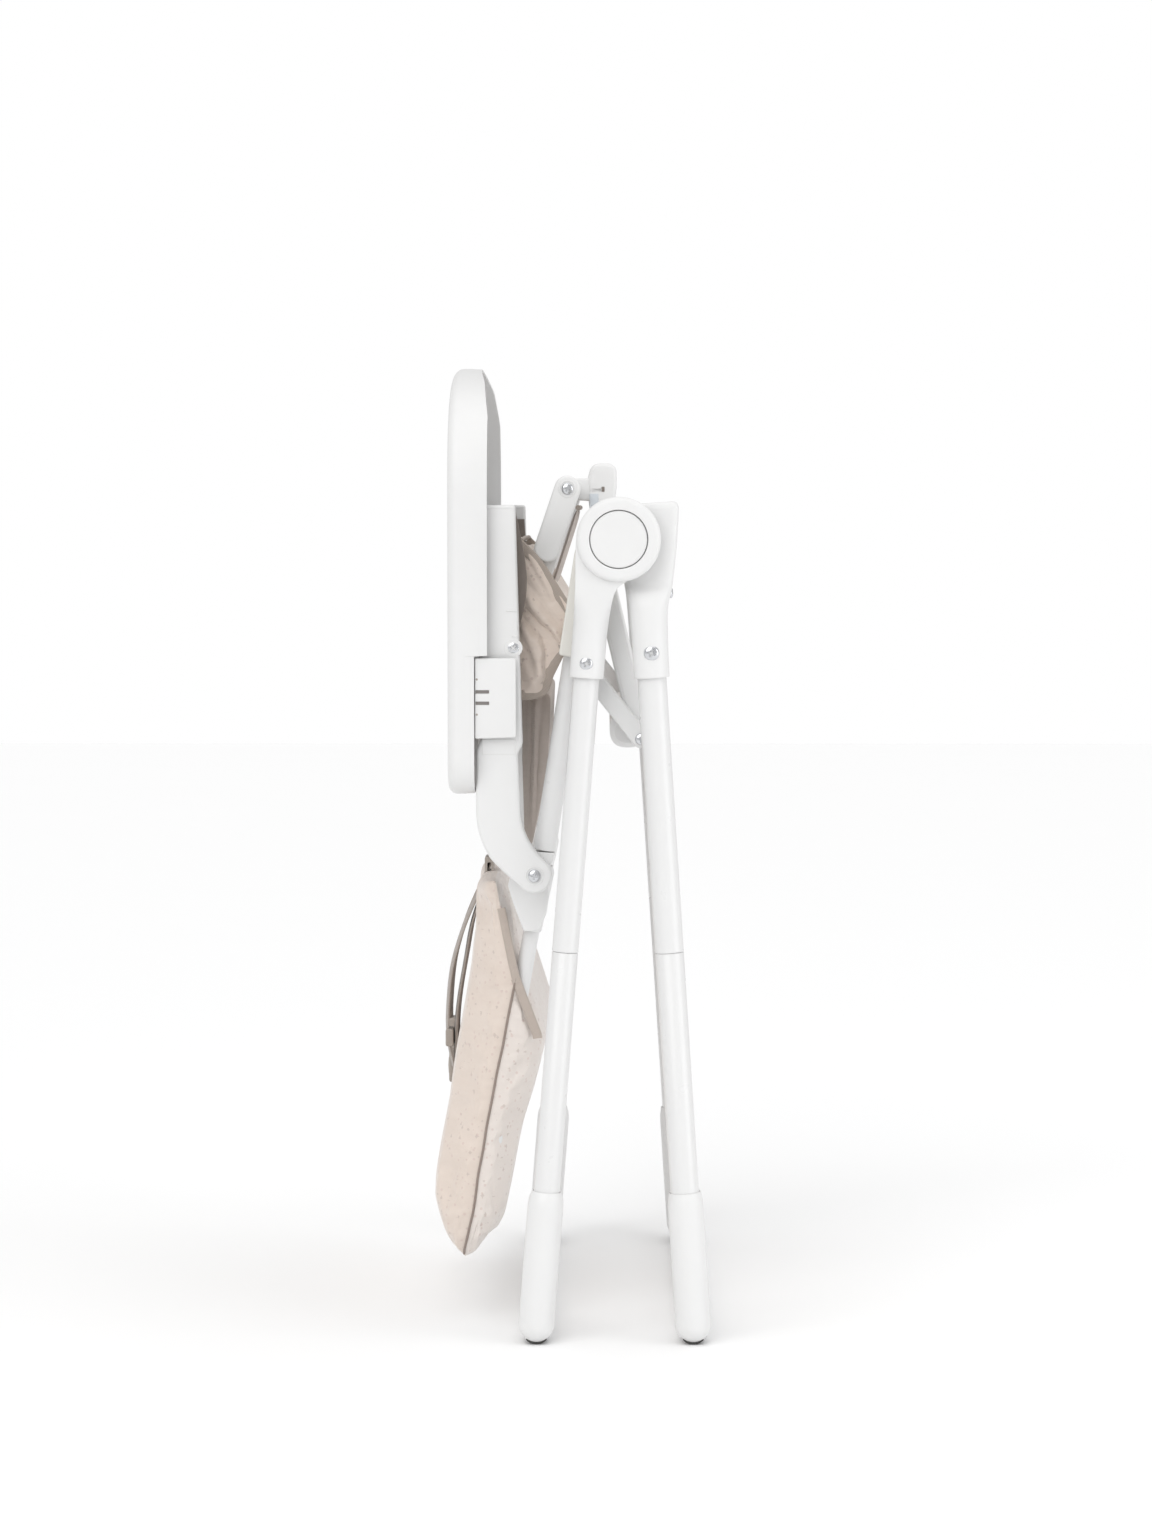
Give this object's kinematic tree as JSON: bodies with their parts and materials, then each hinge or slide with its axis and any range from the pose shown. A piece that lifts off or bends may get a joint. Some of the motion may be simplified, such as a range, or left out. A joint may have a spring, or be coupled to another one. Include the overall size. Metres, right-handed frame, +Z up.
{
  "type": "folding high chair",
  "caption": "Folding high chair for a baby, folded flat: two tube leg frames on round hubs, seat rails, arms with a tray, padded recline back with harness, calf rest and footrest.",
  "frame": {"origin": "on the floor, under the middle of the folded chair", "axes": "+Z up, +X towards the chair's front, +Y towards the chair's left side"},
  "size_m": [0.2676, 0.58, 0.952],
  "materials": {
    "white_enamel": "satin white powder coat",
    "white_plastic": "fine satin moulded white",
    "steel": "bright plated",
    "rubber": "matt",
    "satin_cloth": "rose-beige satin with small scattered marks",
    "lining_cloth": "dark taupe plain weave",
    "webbing": "taupe ribbed webbing",
    "buckle_plastic": "taupe moulded"
  },
  "bodies": {
    "rear_frame": {"rear_leg_upper_right": "white_enamel", "rear_leg_upper_left": "white_enamel", "rear_leg_lower_right": "white_enamel", "rear_leg_lower_left": "white_enamel", "rear_foot_right": "white_plastic", "rear_foot_left": "white_plastic", "rear_floor_pad_right": "rubber", "rear_floor_pad_left": "rubber", "rear_floor_bar": "white_enamel", "rear_hub_right": "white_plastic", "rear_hub_left": "white_plastic", "hub_axle_right": "steel", "hub_axle_left": "steel"},
    "hub_button_right": {"hub_button_right": "white_plastic"},
    "hub_button_left": {"hub_button_left": "white_plastic"},
    "front_frame": {"front_leg_upper_right": "white_enamel", "front_leg_upper_left": "white_enamel", "front_leg_lower_right": "white_enamel", "front_leg_lower_left": "white_enamel", "front_foot_right": "white_plastic", "front_foot_left": "white_plastic", "front_floor_pad_right": "rubber", "front_floor_pad_left": "rubber", "front_floor_bar": "white_enamel", "front_hub_right": "white_plastic", "front_hub_left": "white_plastic"},
    "seat_rails": {"rail_tube_right": "white_enamel", "rail_tube_left": "white_enamel", "rail_hub_right": "white_plastic", "rail_hub_left": "white_plastic", "rail_end_right": "white_plastic", "rail_end_left": "white_plastic", "seat_pivot_right": "steel", "seat_pivot_left": "steel", "rail_cross_bar": "white_enamel", "seat_sling": "lining_cloth"},
    "upper_links": {"upper_link_right": "white_plastic", "upper_link_left": "white_plastic", "fold_handle": "white_plastic"},
    "lower_links": {"lower_link_right": "white_plastic", "lower_link_left": "white_plastic"},
    "arms": {"arm_right": "white_plastic", "arm_left": "white_plastic", "arm_cross_bar": "white_enamel"},
    "tray": {"tray": "white_plastic"},
    "tray_button_right": {"tray_button_right": "white_plastic"},
    "tray_button_left": {"tray_button_left": "white_plastic"},
    "backrest": {"back_bracket_right": "white_plastic", "back_bracket_left": "white_plastic", "back_frame": "white_enamel", "back_cross_bar": "white_enamel", "back_cushion": "satin_cloth", "back_pocket": "satin_cloth", "shoulder_strap_right": "webbing", "shoulder_strap_left": "webbing", "harness_buckle": "buckle_plastic"},
    "calf_rest": {"calf_bar_right": "white_plastic", "calf_bar_left": "white_plastic", "calf_cover": "satin_cloth"},
    "footrest": {"footrest": "white_plastic"}
  },
  "joints": [
    {"name": "leg_fold", "type": "hinge", "parent": "rear_frame", "child": "front_frame", "pos_m": [0.0433, 0, 0.7802], "axis": [0, -1, 0], "range_deg": [0, 48]},
    {"name": "rail_fold", "type": "hinge", "parent": "rear_frame", "child": "seat_rails", "pos_m": [0.0433, 0, 0.7802], "axis": [0, 1, 0], "range_deg": [0, 57]},
    {"name": "arm_fold", "type": "hinge", "parent": "seat_rails", "child": "arms", "pos_m": [-0.0381, 0, 0.4538], "axis": [0, 1, 0], "range_deg": [0, 9]},
    {"name": "upper_link_fold", "type": "hinge", "parent": "seat_rails", "child": "upper_links", "pos_m": [0.0217, 0, 0.7716], "axis": [0, -1, 0], "range_deg": [0, 63.6]},
    {"name": "lower_link_fold", "type": "hinge", "parent": "rear_frame", "child": "lower_links", "pos_m": [0.0102, 0, 0.6567], "axis": [0, -1, 0], "range_deg": [0, 23.9]},
    {"name": "recline", "type": "hinge", "parent": "seat_rails", "child": "backrest", "pos_m": [-0.0381, 0, 0.4538], "axis": [0, 1, 0], "range_deg": [0, 64]},
    {"name": "calf_rest_tilt", "type": "hinge", "parent": "arms", "child": "calf_rest", "pos_m": [-0.0584, 0, 0.675], "axis": [0, 1, 0], "range_deg": [0, 55]},
    {"name": "footrest_tilt", "type": "hinge", "parent": "calf_rest", "child": "footrest", "pos_m": [-0.0065, 0, 0.8287], "axis": [0, -1, 0], "range_deg": [0, 35]},
    {"name": "tray_slide", "type": "slide", "parent": "arms", "child": "tray", "axis": [0, 0, 1], "range_m": [0, 0.036]},
    {"name": "hub_button_right", "type": "slide", "parent": "rear_frame", "child": "hub_button_right", "axis": [0, 1, 0], "range_m": [0, 0.004], "stiffness_N_per_m": 600},
    {"name": "tray_button_right", "type": "slide", "parent": "tray", "child": "tray_button_right", "axis": [0, 1, 0], "range_m": [0, 0.003], "stiffness_N_per_m": 500},
    {"name": "hub_button_left", "type": "slide", "parent": "rear_frame", "child": "hub_button_left", "axis": [0, -1, 0], "range_m": [0, 0.004], "stiffness_N_per_m": 600},
    {"name": "tray_button_left", "type": "slide", "parent": "tray", "child": "tray_button_left", "axis": [0, -1, 0], "range_m": [0, 0.003], "stiffness_N_per_m": 500}
  ],
  "couplings": [
    {"joint": "rail_fold", "follows": "leg_fold", "ratio": 1.1875},
    {"joint": "arm_fold", "follows": "leg_fold", "ratio": 0.1875},
    {"joint": "upper_link_fold", "follows": "leg_fold", "ratio": 1.3245},
    {"joint": "lower_link_fold", "follows": "leg_fold", "ratio": 0.4975}
  ]
}
